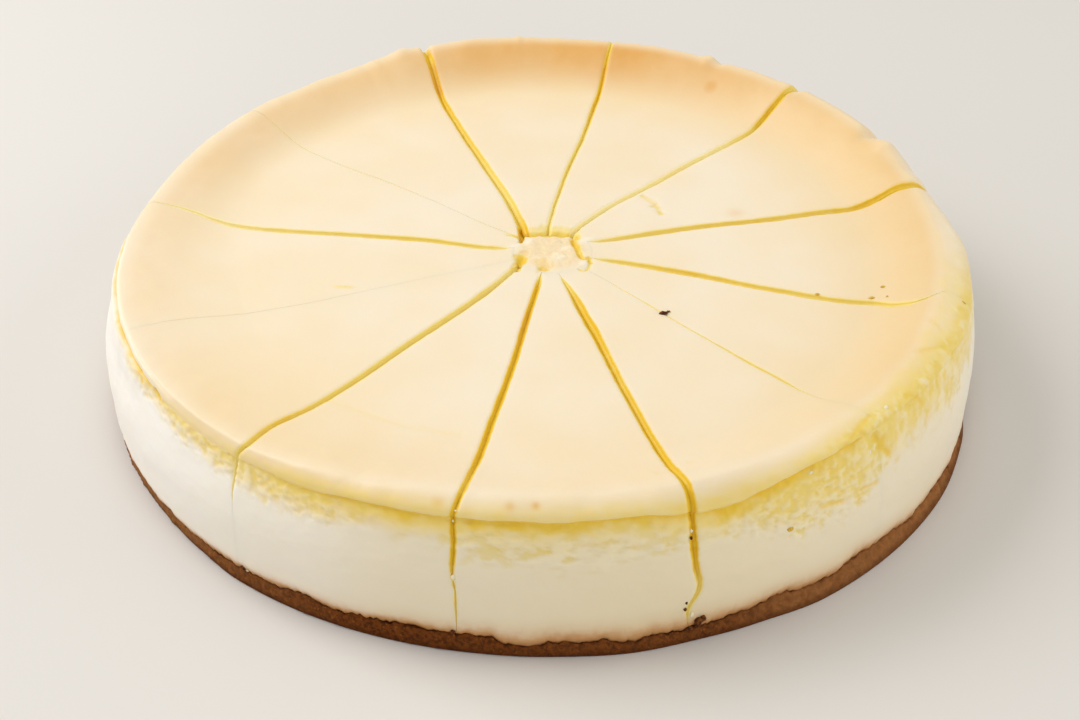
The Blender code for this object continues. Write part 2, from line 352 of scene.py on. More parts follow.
# The section from the crest down. On the lip: share of the way out, of the drop to the crevice, and
# of a bump. On the side: mm inside the widest ring, and mm above the floor, or at the foot above the
# crumb.
section = dict(
    bumpWidth=3.2,
    insideCrest=4.0,
    lip=dict(shoulder=(0.56, 0.25, 0.85), lip=(0.94, 0.64, 0.3)),
    underLipDrop=0.88,
    tornDrop=1.7,
    side=dict(widest=(0.15, 22.0), lowerSide=(0.35, 11.0)),
    foot=dict(foot=(0.9, 1.2), corner=(1.5, 0.05)),
)


def bumpAt(azimuth):
    total = 0.0 * azimuth
    for place, rise, width in rim["bumps"]:
        total = total + rise * bell((azimuth - place + 180.0) % 360.0 - 180.0, width)
    return total


def topHeight(radius, azimuth):
    crest, start = around(rim["crestRadius"], azimuth), around(rim["climbFrom"], azimuth)
    climb = ease((radius - start) / (crest - start)) ** around(rim["climbShape"], azimuth)
    rise = climb * (around(rim["height"], azimuth) - cake["middleHeight"])
    return cake["middleHeight"] + rise + bumpAt(azimuth) * bell(radius - crest, section["bumpWidth"])


def rimCurve(azimuth):
    # the section's points from just inside the crest down to the foot, as (place, radius, height)
    crest, high, lip, low, inset = [
        around(rim[name], azimuth)
        for name in ("crestRadius", "height", "lipRadius", "creviceHeight", "creviceDepth")
    ]
    bump, floor, drop = bumpAt(azimuth), crumbEdgeAt(azimuth), high - low
    side, widest = cake["sideRadius"], section["side"]["widest"][1]
    inside = section["insideCrest"]
    points = [
        (skin["crest"] - inside, crest - inside, topHeight(crest - inside, azimuth)),
        (skin["crest"], crest, high + bump),
    ]
    for name, (out, fall, rise) in section["lip"].items():
        points.append((skin[name], crest + out * (lip - crest), high - fall * drop + rise * bump))
    points += [
        (skin["underLip"], lip, high - section["underLipDrop"] * drop),
        (skin["crevice"], lip - inset, low),
        (skin["torn"], lip + np.maximum(0.4, 0.5 - inset), low - section["tornDrop"]),
        (skin["upperSide"], 0.5 * lip + 0.5 * side + 0.1, 0.55 * low + 0.45 * widest),
    ]
    points += [(skin[name], side - gap, up + 0 * azimuth) for name, (gap, up) in section["side"].items()]
    return points + [(skin[name], side - gap, floor + up) for name, (gap, up) in section["foot"].items()]


def sectionAt(azimuth, place):
    # radius and height of the skin from the crest down
    points = rimCurve(azimuth)
    values = np.array([np.broadcast_arrays(point[1], point[2]) for point in points])
    return through([point[0] for point in points], values, place)


def ringMiddle(radius):
    # rings near the core are drawn round the core, the others round the cake's axis
    share = 1.0 - ease((radius - cake["coreRadius"]) / (cake["ringsTurnRound"] - cake["coreRadius"]))
    return np.stack([coreX * share, coreY * share], axis=-1)


def nominalRadius(path):
    # the radius of a row before its azimuth is known
    return np.interp(path, (0.0, 117.0, 123.0, 125.8, 145.0, 162.2), (0.0, 117.5, 122.0, 121.0, 127.0, 125.6))


# How uneven a cut is. The sway is in mm, the rest are shares of its width; a pace is waves a mm.
knife = dict(
    swayPace=(0.045, 0.25),
    sway=(0.45, 0.12),
    raggedPace=(0.16, 0.6),
    raggedOnTop=0.18,
    raggedOnSide=0.25,      # more there, where the filling is torn rather than cut
    fineShare=0.8,
)


def cutValue(cut, kind, path):
    # how open or how golden a cut is; values that run out stay 0
    values = (*cut[kind], *[0] * len(cutPlaces))[:len(cutPlaces)]
    return through(cutPlaces, values, path)


def waves(path, pace, second, third):
    return np.array([noise.noise((pace * s, second, third)) for s in path])


def cutOpen(cut, path):
    seed = 7.0 * cuts.index(cut)
    width = cutValue(cut, "open", path)
    ragged = waves(path, knife["raggedPace"][0], seed, 0.0)
    fine = waves(path, knife["raggedPace"][1], seed, 3.0)
    uneven = knife["raggedOnTop"] + knife["raggedOnSide"] * ease((path - skin["underLip"]) / 6.0)
    width = width * (1.0 + uneven * ragged + knife["fineShare"] * uneven * fine)
    return np.maximum(width, cake["closedGap"])


def cutWander(cut, path):
    seed = 11.0 * cuts.index(cut)
    slow = waves(path, knife["swayPace"][0], 3.0, seed)
    quick = waves(path, knife["swayPace"][1], 9.0, seed)
    places, shifts = zip(*cut["bend"])
    return knife["sway"][0] * slow + knife["sway"][1] * quick + through(places, shifts, path)


def cutEdge(cut, path, radius, side):
    # where that side of a cut crosses each ring: angle round the ring's middle, and the half opening
    along, left = [way[:2] for way in directions(cut["azimuth"])]
    half = 0.5 * cutOpen(cut, path)
    lateral = cut["offset"] + cutWander(cut, path) + side * half
    middle = ringMiddle(radius)
    across = lateral - middle @ left
    reach = middle @ along + np.sqrt(radius ** 2 - across ** 2)
    place = lateral[:, None] * left + reach[:, None] * along - middle
    return np.arctan2(place[:, 1], place[:, 0]), half


wedge = dict(
    edgeSteps=(0.0, 0.14, 0.34, 0.62, 1.0, 1.5, 2.1),   # columns beside a cut, mm at the rim
    columnStep=0.52,
    floorSteps=(0.3, 0.6, 0.85, 1.0),   # rows down a groove, as shares of its depth
    seamSteps=(1.5, 4.0, 8.0),          # rows down the closed cut under the groove, mm
    seamSharp=0.35,                     # cuts narrower than this keep flat shading up to the edge
    spineHeight=20.0,
    spineFrom=24.0,
    spineTo=100.0,
    deepest=0.7,                        # a groove stops at this share of the way to the spine
    goldenHalf=0.25,                    # cuts with this half width are golden all through
    fadeDepth=2.0,                      # the skin's other colours fade over this depth
    fillingGroove=(1.0, 0.12),          # depth against half the width, and the least depth
    crumbGroove=(4.0, 0.3),
)


def makeMesh(name, places, faces, fields, sharp=()):
    mesh = bpy.data.meshes.new(name)
    mesh.from_pydata((np.asarray(places) * mm).tolist(), [], faces)
    for kind, values in fields.items():
        field = mesh.attributes.new(kind, "FLOAT", "POINT")
        field.data.foreach_set("value", np.asarray(values, dtype=np.float32))
    mesh.shade_smooth()
    if len(sharp):
        wanted = {frozenset(pair) for pair in sharp}
        found = [frozenset(edge.vertices) in wanted for edge in mesh.edges]
        mesh.attributes.new("sharp_edge", "BOOLEAN", "EDGE").data.foreach_set("value", found)
    mesh.validate()
    return mesh


def insideBox(places):
    # keeps relief within the box of the solids
    side = cake["sideRadius"] - cake["boxGap"]
    return np.clip(places, (-side, -side, 0.0), (side, side, cake["top"] - cake["boxGap"]))


def makeSlice(name, first, second, path, radius, shape, finish, groove, sharpRows=()):
    # path and radius: one value a row; shape gives a row's radii and heights; finish adds the relief
    # and the fields
    angleA, halfA = cutEdge(first, path, radius, 1.0)
    angleB, halfB = cutEdge(second, path, radius, -1.0)
    sweep = (angleB - angleA) % math.tau
    width = sweep[np.argmax(radius)] * radius.max()
    steps = np.array(wedge["edgeSteps"]) / width
    inner = np.linspace(steps[-1], 1.0 - steps[-1], int(width / wedge["columnStep"]))
    share = np.concatenate([steps[:-1], inner, 1.0 - steps[-2::-1]])
    angle = angleA[:, None] + sweep[:, None] * share
    around2d = np.stack([np.cos(angle), np.sin(angle)], axis=-1)
    middle = ringMiddle(radius)[:, None, :]
    rough = middle + radius[:, None, None] * around2d
    azimuth = np.degrees(np.arctan2(rough[..., 1], rough[..., 0]))   # about the cake's axis
    sizes = np.array([np.broadcast_arrays(*shape(k, azimuth[k])) for k in range(len(path))])
    reach, height = sizes[:, 0], sizes[:, 1]
    places = np.concatenate([middle + reach[..., None] * around2d, height[..., None]], axis=-1)
    beside = np.minimum(share, 1.0 - share) * sweep[:, None] * radius[:, None]   # mm to the nearer cut
    nearOpen = np.where(share < 0.5, halfA[:, None], halfB[:, None])
    golds = [cutValue(cut, "gold", path)[:, None] for cut in (first, second)]
    nearGold = np.where(share < 0.5, *golds)
    dr, dz = np.gradient(reach, axis=0), np.gradient(height, axis=0)
    long = np.maximum(np.hypot(dr, dz), 1e-6)
    outward = np.concatenate([-(dz / long)[..., None] * around2d, (dr / long)[..., None]], axis=-1)
    lift, fields = finish(places, path, azimuth, beside, nearOpen, nearGold)
    places = insideBox(places + outward * lift[..., None])

    rows, columns = height.shape
    vertices = [places.reshape(-1, 3)]
    values = {
        kind: [np.broadcast_to(field, height.shape).reshape(-1)]
        for kind, field in fields.items()
    }
    faces = []
    sharp = [(k * columns + j, k * columns + j + 1) for k in sharpRows for j in range(columns - 1)]
    for k in range(rows):
        after = (k + 1) % rows
        for j in range(columns - 1):
            a, b = k * columns + j, after * columns + j
            faces.append((a, b, b + 1, a + 1))
    total = rows * columns
    for cut, column, side, half in ((first, 0, 1.0, halfA), (second, columns - 1, -1.0, halfB)):
        along, left = directions(cut["azimuth"])
        edge = places[:, column]
        reachAlong = edge @ along
        spine = np.clip(reachAlong, wedge["spineFrom"], wedge["spineTo"])
        inward = (spine - reachAlong)[:, None] * along
        inward[:, 2] = wedge["spineHeight"] - edge[:, 2]
        distance = np.linalg.norm(inward, axis=1)
        inward /= distance[:, None]
        floor = groove[0] * half + groove[1]
        before = [k * columns + column for k in range(rows)]
        for k in range(rows):
            if 2.0 * half[k] < wedge["seamSharp"]:
                sharp.append((before[k], before[(k + 1) % rows]))
        levels = [(part * floor, math.sqrt(max(1.0 - part ** 2, 0.0))) for part in wedge["floorSteps"]]
        levels += [(floor + step, 0.0) for step in wedge["seamSteps"]]
        for depth, closing in levels:
            depth = np.minimum(depth, wedge["deepest"] * distance)
            stand = np.maximum(half * closing, 0.5 * cake["closedGap"])
            ring = edge + inward * depth[:, None] + left * (side * (stand - half))[:, None]
            vertices.append(ring)
            for kind in values:
                skinValue = values[kind][0].reshape(height.shape)[:, column]
                if kind == "golden":
                    skinValue = np.maximum(skinValue, ease(half / wedge["goldenHalf"]))
                elif kind != "amber":
                    skinValue = skinValue * (1.0 - ease(depth / wedge["fadeDepth"]))
                values[kind].append(skinValue)
            now = [total + k for k in range(rows)]
            total += rows
            for k in range(rows):
                after = (k + 1) % rows
                face = (before[k], before[after], now[after], now[k])
                faces.append((face[1], face[0], face[3], face[2]) if side > 0 else face)
            before = now
        faces.append(tuple(reversed(before)) if side > 0 else tuple(before))
    fields = {kind: np.concatenate(parts) for kind, parts in values.items()}
    return makeMesh(name, np.concatenate(vertices), faces, fields, sharp)


def fillingRows():
    tips = cake["coreRadius"] + cake["closedGap"]
    stretches = [   # how far each goes along the skin, and its rows
        (20.0, 17), (skin["climb"], 56), (skin["crest"], 28), (skin["crevice"], 19), (148.0, 46),
        (skin["foot"], 13), (skin["corner"], 2),
    ]
    path = [tips]
    for end, count in stretches:
        path += list(np.linspace(path[-1], end, count + 1)[1:])
    shown = len(path)
    radius = list(nominalRadius(np.array(path)))
    under = [118.0, 100.0, 60.0, tips]
    walls = [8.0, 18.0, 28.0, 34.0]
    path += [skin["corner"] + 1.0 + i for i in range(len(under) + len(walls))]
    radius += under + [tips] * len(walls)
    return np.array(path), np.array(radius), shown, under, walls


fillingPath, fillingRadius, fillingShown, underRadii, wallHeights = fillingRows()


def fillingShape(row, azimuth):
    path = fillingPath[row]
    if row < fillingShown:
        if path < skin["climb"]:
            return path, cake["middleHeight"] + 0 * azimuth
        if path <= skin["crest"]:
            share = (path - skin["climb"]) / (skin["crest"] - skin["climb"])
            reach = skin["climb"] + share * (around(rim["crestRadius"], azimuth) - skin["climb"])
            return reach, topHeight(reach, azimuth)
        return sectionAt(azimuth, path)
    row -= fillingShown
    if row < len(underRadii):
        return underRadii[row], crumbTop(azimuth, underRadii[row]) + 0.1
    return fillingRadius[-1], wallHeights[row - len(underRadii)] + 0 * azimuth


# Hollows round the core, left where the knife turned, as lines in mm from its middle, with the half
# width, the depth, how far in the bottom is flat, and how golden and how amber they are. What has
# no depth but a rise is a pale lump.
hollows = named("line half depth flat golden amber", [
    (((-6.4, 11.8), (-2, 12.4), (2, 12.4), (5.6, 11.4)), 2.7, 0.7, 0, 0.55, 0.5),
    (((-6.8, 9.6), (-2.4, 10.4), (1.6, 10.6), (5, 9.8), (6.6, 8.8)), 2.5, 2.2, 0.1, 1, 0.62),
    (((-9.4, 13), (-8.9, 9)), 1.5, 1.9, 0.1, 1, 1),
    (((-8.9, 9), (-9, 6.6)), 1.1, 1.7, 0.1, 1, 1),
    (((-9, 6.6), (-9.3, 4.8)), 0.7, 1.2, 0.1, 0.9, 0.9),
    (((-9, -3.8), (-9.2, -5.6)), 2.4, 1.5, 0, 0.85, 0.8),
    (((-9.4, -6), (-10.2, -9.6)), 1.5, 1.2, 0, 0.8, 0.6),
    (((-8.2, -0.6), (-8.8, -2.4)), 2, 0.5, 0, 0.35, 0.95),
    (((-2.9, -8.9), (-2.3, -9.3)), 2.2, 0.9, 0, 0.6, 0.9),
    (((-3.4, -5.4), (-2.2, -7.6)), 3, 0.35, 0, 0.35, 0.85),
    (((6, 6), (6.8, 2.9)), 1.7, 1.1, 0, 0.85, 0.78),
    (((6.9, 2.6), (8.2, -2.3), (9.2, -3.4)), 1.25, 1, 0, 0.85, 0.72),
    (((9.4, -3.2), (10.7, -2.9), (10.9, -5.8)), 0.9, 0.8, 0, 0.8, 0.7),
    (((10.9, -5.8), (10.1, -9.2), (9, -10.4), (7.8, -9.6)), 0.7, 0.45, 0.1, 0.65, 0.55),
    (((-13.4, 8.9), (-10.7, 8.1)), 0.9, 0.3, 0.2, 0.6, 0.5),
])
paleLumps = [   # place, radius and height
    (9, -6.6, 1.3, 0.5), (9.8, 6.3, 1.9, 0.35), (4.2, 1.3, 1.6, 0.3), (-6.9, 4.8, 1.7, 0.4),
    (-10.6, 2.4, 1.5, 0.35), (-4, -4.4, 1.8, 0.2), (1.5, -3.5, 2.4, 0.2),
]


# How much a hollow's edge wavers and over what size, then where its golden and its amber begin and
# over how much they grow, as shares of its half width
hollowLook = dict(waver=0.5, lumps=3.4, golden=(1.25, 0.95), amber=(1.3, 0.8))


def carve(x, y):
    # how deep the hollows are at places round the core, their two colour fields, and the pale lumps
    flat = np.stack([x - coreX, y - coreY], axis=-1)
    deep, golden, amber, pale = 0.0 * x, 0.0 * x, 0.0 * x, 0.0 * x
    lumps = grain(np.stack([x, y, 0.0 * x], axis=-1), hollowLook["lumps"], 40, 2)
    uneven = 1.0 + hollowLook["waver"] * lumps
    (goldFrom, goldOver), (amberFrom, amberOver) = hollowLook["golden"], hollowLook["amber"]
    for hollow in hollows:
        share = lineDistance(flat, hollow["line"]) / hollow["half"] * uneven
        strength = ease((1.0 - share) / (1.0 - hollow["flat"]))
        deep = np.maximum(deep, hollow["depth"] * strength)
        gold = hollow["golden"] * ease((goldFrom - share) / goldOver)
        goldAmber = hollow["amber"] * ease((amberFrom - share) / amberOver)
        golden, amber = laidOver(golden, amber, gold, goldAmber)
    for lumpX, lumpY, size, rise in paleLumps:
        near = bell(np.hypot(flat[..., 0] - lumpX, flat[..., 1] - lumpY) * uneven, size)
        deep -= rise * near
        pale = np.maximum(pale, near)
    return deep, golden, amber, pale * (1.0 - golden)


def sidePlace(azimuth, place):
    # the point of the skin at that azimuth and place, in millimetres
    radius, height = [float(v[0]) for v in sectionAt(np.array([float(azimuth)]), place)]
    along, _ = directions(azimuth)
    return radius * along[0], radius * along[1], height


# Marks on the top, lines of points in mm from the axis
nicks = named("line width depth golden", [
    (((30.6, 31.7), (34.6, 27), (36.1, 21.1)), 0.6, 0.8, 0.8),
    (((34.6, 27), (33.4, 25.6)), 0.5, 0.5, 0.5),
    (((-54.8, -72.3), (-37.1, -82.2), (-20.1, -86.9)), 0.9, 0.3, 0.25),
    (((28.6, -106.1), (30.6, -106.6)), 0.4, 0.25, 0.5),
    (((37, -100.9), (38.8, -100.2)), 0.35, 0.2, 0.35),
    (((-57.8, -19.2), (-53.4, -19.6)), 0.8, -0.15, 0.5),
])
# Marks on the side, lines of (azimuth, place along the skin)
tears = named("line width depth golden", [
    (((309.5, 123.6), (312.5, 121), (315, 119.6)), 0.7, 0.15, 0.5),
    (((314.4, 128), (315.6, 131.4), (316.6, 133.6)), 1.5, 0.5, 0.7),
    (((305, 137), (307.8, 138)), 0.7, 0.3, 0.5),
    (((310.6, 138), (314, 138.9)), 0.7, 0.3, 0.5),
    (((322, 121.5), (324, 126.5), (324.6, 129)), 1, 0.2, 0.6),
    (((331, 117.4), (334, 121)), 0.9, 0.15, 0.4),
    (((338, 116), (335, 122)), 0.7, 0.15, 0.35),
    (((209.4, 124.6), (210.4, 127.4)), 0.6, 0.3, 0.7),
    (((213.6, 125.6), (214.8, 126.8)), 0.8, 0.6, 0.9),
])
# Browned spots: azimuth, radius or place along the skin, size and strength
spots = [
    dict(azimuth=59.0, radius=107.5, size=3.6, strength=0.8),
    dict(azimuth=20.6, radius=62.4, size=2.4, strength=0.3),
    dict(azimuth=74.0, radius=104.0, size=3.0, strength=0.3),
    dict(azimuth=258.4, place=121.2, size=1.7, strength=0.5),
    dict(azimuth=266.8, place=120.4, size=1.3, strength=0.6),
    dict(azimuth=269.8, place=119.9, size=1.1, strength=0.85),
]

# Tones of the filling's surface by azimuth
bloom = dict(
    warm=[
        (0, 1), (20, 1), (45, 0.9), (110, 0.75), (135, 0.55), (160, 0.45), (180, 0.2), (205, 0.2),
        (217, 0.6), (240, 0.5), (262, 0.35), (285, 0.25), (300, 0.5), (335, 1),
    ],
    baked=[
        (0, 0.2), (25, 0.25), (45, 0.35), (60, 0.6), (78, 1), (100, 0.8), (118, 0.4), (150, 0.25),
        (175, 0.15), (220, 0.05), (300, 0), (335, 0.08),
    ],
    # side: how much of the warmer, darker side tone each side takes; partly the filling's own tint, partly
    # painted shade, most on the front, away from the key lamp
    side=[
        (20, 0.7), (90, 0.5), (165, 0.05), (218, 0), (240, 0.35), (256, 0.8), (285, 1), (320, 0.8),
        (350, 0.4),
    ],
    # browner, darker foot of the side: partly a baked tint near the crumb, partly painted shade where the
    # light falls off downwards, strongest at the front
    brown=[(0, 0.3), (190, 0.1), (235, 0.35), (262, 0.9), (285, 1), (310, 1), (335, 0.6)],
    bandOrange=[(0, 0.15), (200, 0), (214, 0.35), (250, 0.4), (262, 0), (300, 0), (325, 0.15)],
    haloReach=[(0, 1.8), (220, 1.6), (250, 2.2), (272, 3.6), (300, 3), (330, 2.4)],
)


# Relief and colouring of the filling's skin, in mm. A pair is a rise and the size of its lumps, or a
# strength and a reach.
surface = dict(
    swell=(0.16, 26.0),                 # all over, and on the core
    rimSwell=(0.34, 13.0),
    rimGrain=(0.12, 4.5),
    sideSwell=(0.20, (12.0, 12.0, 7.0)),
    tornLumps=((4.6, 4.6, 2.0), (3.2, 3.2, 5.0), (2.2, 2.2, 1.4)),      # lying, standing and small ones
    tornRise=(0.7, 0.3, 0.05),          # of a lump, the most that counts, and how far the band sinks
    upright=(310.0, 10.0),              # the azimuth where lumps begin to stand, and over how many degrees
    wide=[(0, 0), (238, 0), (256, 1), (288, 1), (298, 0)],              # where lumps are wide
    ridge=(0.25, 1.5),
    ridgePlace=120.4,
    cutEdge=(0.30, 0.55),               # how a cut's edges sink
    cutMargins=((0.85, 0.32), (0.16, 0.9)),
    lineAmber=0.75,
    nick=(1.15, 0.6),                   # how far its gold reaches against its width, and its amber
    tear=(1.1, 0.8),
    atCrest=[(0, 1), (18, 0.8), (30, 0), (320, 0), (338, 1)],           # where warmth ends at the crest
    marksAbove=30.0,                    # marks on the top don't reach the underside
    # how high that darker foot reaches, partly painted shade
    brownBelow=15.0,
)


def fillingFinish(places, path, azimuth, beside, nearOpen, nearGold):
    def at(name):
        return around((rim | bloom)[name], azimuth)

    row = path[:, None]
    shown = (np.arange(len(path)) < fillingShown)[:, None] * np.ones_like(beside)
    x, y, z = places[..., 0], places[..., 1], places[..., 2]
    out, crest = np.hypot(x, y), at("crestRadius")
    onTop = ease((skin["shoulder"] - row) / 4.0)
    onSide = ease((row - skin["underLip"]) / 2.0) * shown
    onLip = ease((row - 115.2) / 9.0) * (1.0 - onSide)
    rimZone = ease((row - 100.0) / 12.0) * ease((skin["upperSide"] - row) / 8.0)
    upper = z > surface["marksAbove"]
    wobble = grain(places, 5.0, 6, 2)

    # the band under the crevice, which at the right comes up over the rim as well
    share = np.maximum(at("creviceHeight") - z, 0.0) / (at("washDown") * (1.0 + 0.22 * wobble))
    wash = onSide * at("wash") * (1.0 - np.clip(share, 0.0, 1.0) ** at("washHold"))
    overRim = at("overRim") * (1.0 - onSide)
    tint = overRim * ease((out + 1.6 * wobble - crest + 3.5) / 4.0) * ease((row - 100.0) / 4.0)
    overRim = overRim * ease((row + 1.5 * wobble - 118.5) / 3.5)
    # the lip's yellowing is partly painted shade on its rounded, downward face
    lipWash = onLip ** 1.2 * at("lipGold") * 0.85
    band = ease((1.25 - share) / 0.5) * onSide + overRim
    torn = np.clip(band, 0.0, 1.0) * at("torn") * shown
    wash = np.clip(wash + lipWash + 0.45 * tint + 0.25 * overRim, 0.0, 1.0)

    def swell(name, where, seed, octaves):
        rise, size = surface[name]
        return rise * grain(where, size, seed, octaves)

    lift = swell("swell", places, 1, 2)
    lift += rimZone * (swell("rimSwell", places * (1.0, 1.0, 0.0), 2, 2) + swell("rimGrain", places, 3, 2))
    lift += onSide * swell("sideSwell", places, 4, 3)
    # pale flecks stand up in the torn band and golden pits lie between them: wide ones at the front,
    # finer ones beside it, and upright streaks where the band comes over the rim. Their colours go by
    # the lumps' height: pale on the raised ones, partly a painted highlight, and gold in the low places,
    # partly painted shade
    upright = ease((azimuth % 360.0 - surface["upright"][0]) / surface["upright"][1])
    finer = 1.0 - around(surface["wide"], azimuth)
    busy = torn > 0.02
    lumps = 0.0 * torn
    lying, standing, small = [
        grain(places[busy], size, 5 + i, 4)
        for i, size in enumerate(surface["tornLumps"])
    ]
    mixed = lying + finer[busy] * (small - lying)
    lumps[busy] = mixed + 0.7 * upright[busy] * (standing - mixed)
    rise, most, sink = surface["tornRise"]
    lift += torn * (1.0 - 0.55 * upright) * (rise * np.clip(lumps, -most, most) - sink)
    lower = np.maximum(ease((share - 0.25) / 0.3), finer)
    patches = 0.75 + 0.5 * wobble
    fleck = torn * patches * lower * ease((lumps + 0.06) / (0.3 + 0.15 * finer))
    pit = torn * patches * ease((-lumps - 0.02) / 0.34)
    # pale ridge along the lip: partly pale filling, partly a painted highlight
    ridge = at("ridge") * bell(row - surface["ridgePlace"], surface["ridge"][1])
    lift += surface["ridge"][0] * ridge

    # cuts leave soft edges and a golden margin
    openHere = ease((nearOpen - 0.08) / 0.3)
    sunk, reach = surface["cutEdge"]
    lift -= sunk * bell(beside, reach) * openHere * shown
    golden = sum(strength * bell(beside, reach) for strength, reach in surface["cutMargins"]) * openHere
    amber = nearGold * np.ones_like(golden)
    under = row - skin["crevice"] + at("lineRise")
    thick = at("lineReach") * (1.0 + 0.6 * wobble)
    line = ease((under + 0.4) / 0.5) * np.exp(-(np.maximum(under, 0.0) / thick) ** 1.4)
    line = np.clip(line * at("goldLine") * (1.0 + 0.4 * wobble), 0.0, 1.0)
    golden, amber = laidOver(golden, amber, line, surface["lineAmber"])
    deep, hollowGold, hollowAmber, pale = carve(x, y)
    central = ease((20.0 - row) / 2.0) * shown
    lift -= deep * central
    # pale lumps round the core: raised, pale, and partly a painted highlight
    ridge = ridge + pale * central
    golden, amber = laidOver(golden, amber, hollowGold * central, hollowAmber)
    marks = [(nick, lineDistance(places[..., :2], nick["line"]), surface["nick"], upper) for nick in nicks]
    for tear in tears:
        near = lineDistance(places, [sidePlace(*point) for point in tear["line"]])
        marks.append((tear, near * (1.0 + 0.9 * wobble), surface["tear"], 1.0))
    for mark, near, (goldReach, markAmber), where in marks:
        lift -= mark["depth"] * bell(near, mark["width"]) * where
        gold = mark["golden"] * bell(near, goldReach * mark["width"]) * where
        golden, amber = laidOver(golden, amber, gold, markAmber)
    golden = np.where(shown > 0, golden, 1.0)

    # the inner slope is warmer, up to the crest at the right
    beyond = ease((out - crest + 0.3) / 1.6)
    warm = at("warm") * ease((out - 70.0) / 44.0) * ease((skin["underLip"] - row) / 4.0)
    warm = warm * (1.0 - 0.75 * beyond * around(surface["atCrest"], azimuth))
    # partly a painted highlight: the warm tone here and the baked tone below fade towards the crest, leaving
    # a pale edge where the crest catches the light
    warm = warm * (1.0 - 0.45 * ease((out - crest + 5.0) / 5.0))
    baked = at("baked") * ease((out - crest + 24.0) / 20.0) * onTop
    baked = baked * (1.0 - 0.8 * ease((out - crest + 4.5) / 4.5))
    baked = np.maximum(baked, at("bandOrange") * wash * (1.0 - 0.5 * fleck))
    for spot in spots:
        if "place" in spot:
            near = np.linalg.norm(places - sidePlace(spot["azimuth"], spot["place"]), axis=-1)
        else:
            along, _ = directions(spot["azimuth"])
            near = np.hypot(x - spot["radius"] * along[0], y - spot["radius"] * along[1])
        baked = np.maximum(baked, spot["strength"] * bell(near, spot["size"]) * upper)
    over = np.maximum(z - around(crumbEdge, azimuth), 0.0)
    return lift * shown, dict(
        golden=np.clip(golden, 0, 1), amber=np.clip(amber, 0, 1), warm=np.clip(warm, 0, 1), baked=baked,
        ridge=np.clip(ridge, 0, 1), wash=wash, fleck=fleck, pit=pit, side=onSide,
        sideWarm=onSide * at("side"), stain=onSide * np.exp(-over / at("haloReach")),
        brown=onSide * at("brown") * ease((surface["brownBelow"] - z) / 13.0),
    )


def makeSlices(kind, node, material, slot, *form):
    # one wedge between each cut and the next; form: what makeSlice takes after the two cuts
    for number, first in enumerate(cuts, start=1):
        name = f"{kind}{number:02d}"
        mesh = makeSlice(name, first, cuts[number % len(cuts)], *form)
        addPiece(name, mesh, material, slot, f"{node}_{number:02d}")


def crumbRows():
    tips = cake["coreRadius"] + cake["closedGap"]
    radius = [tips, 60.0, cake["crumbBend"], 120.0, 123.0, 124.6, 125.5]
    height = [None] * len(radius)
    steps = np.linspace(1.0, 0.0, 17)
    radius += [cake["crumbRadius"]] * len(steps)
    height += list(steps)
    radius += [124.5, 110.0, 60.0, tips]
    height += [-1.0] * 4
    return np.array(radius), height


crumbRadii, crumbLevels = crumbRows()
crumbPath = np.linspace(skin["foot"], skin["corner"], len(crumbRadii))


def crumbShape(row, azimuth):
    radius, level = crumbRadii[row], crumbLevels[row]
    if level is None:
        return radius, crumbTop(azimuth, radius)
    if level < 0.0:
        return radius, 0.0 * azimuth
    foot = around(crumbReach, azimuth)
    head = np.minimum(foot + 0.3, radius)
    reach = foot + (head - foot) * level ** 0.7
    rounding = 0.4 * max(2.0 * level - 1.0, 0.0) ** 4 + 0.15 * (1.0 - level) ** 6
    return reach - rounding, level * crumbTop(azimuth, cake["crumbRadius"])


crumbPaleness = [
    (0, 0.4), (185, 0.8), (215, 0.8), (235, 0.3), (250, 0.05), (290, 0.2), (305, 0.8), (340, 1),
]


crumbSurface = dict(
    roughFrom=121.0,        # mm from the axis
    lumps=1.5,
    lumpRise=(0.6, 1.05),   # at a lump's middle, and how much less between lumps
    swell=(0.5, 4.0),
    most=0.6,
)


def crumbFinish(places, path, azimuth, beside, nearOpen, nearGold):
    out, z = np.hypot(places[..., 0], places[..., 1]), places[..., 2]
    outer = ease((out - crumbSurface["roughFrom"]) / 2.5)
    held = ease(z / 0.5)   # the underside stays flat
    rough = 0.55 + 0.45 * ease(z / 4.0)
    (high, fall), (rise, size) = crumbSurface["lumpRise"], crumbSurface["swell"]
    lumps = high - fall * cells(places, crumbSurface["lumps"], 1) + rise * grain(places, size, 8, 3)
    lift = outer * held * rough * lumps
    return np.minimum(lift, crumbSurface["most"]), dict(pale=outer * around(crumbPaleness, azimuth))


core = dict(
    rings=44,
    spokes=170,
    lumps=((0.45, 4.2), (0.22, 1.6)),   # rise and size of the broad and the small unevenness
    flatFrom=7.0,                       # mm from its middle to where it begins to level out
    crown=0.15,
    wallLevels=(34.0, 24.0, 12.0),
    paleness=0.7,
    warmth=0.6,
)


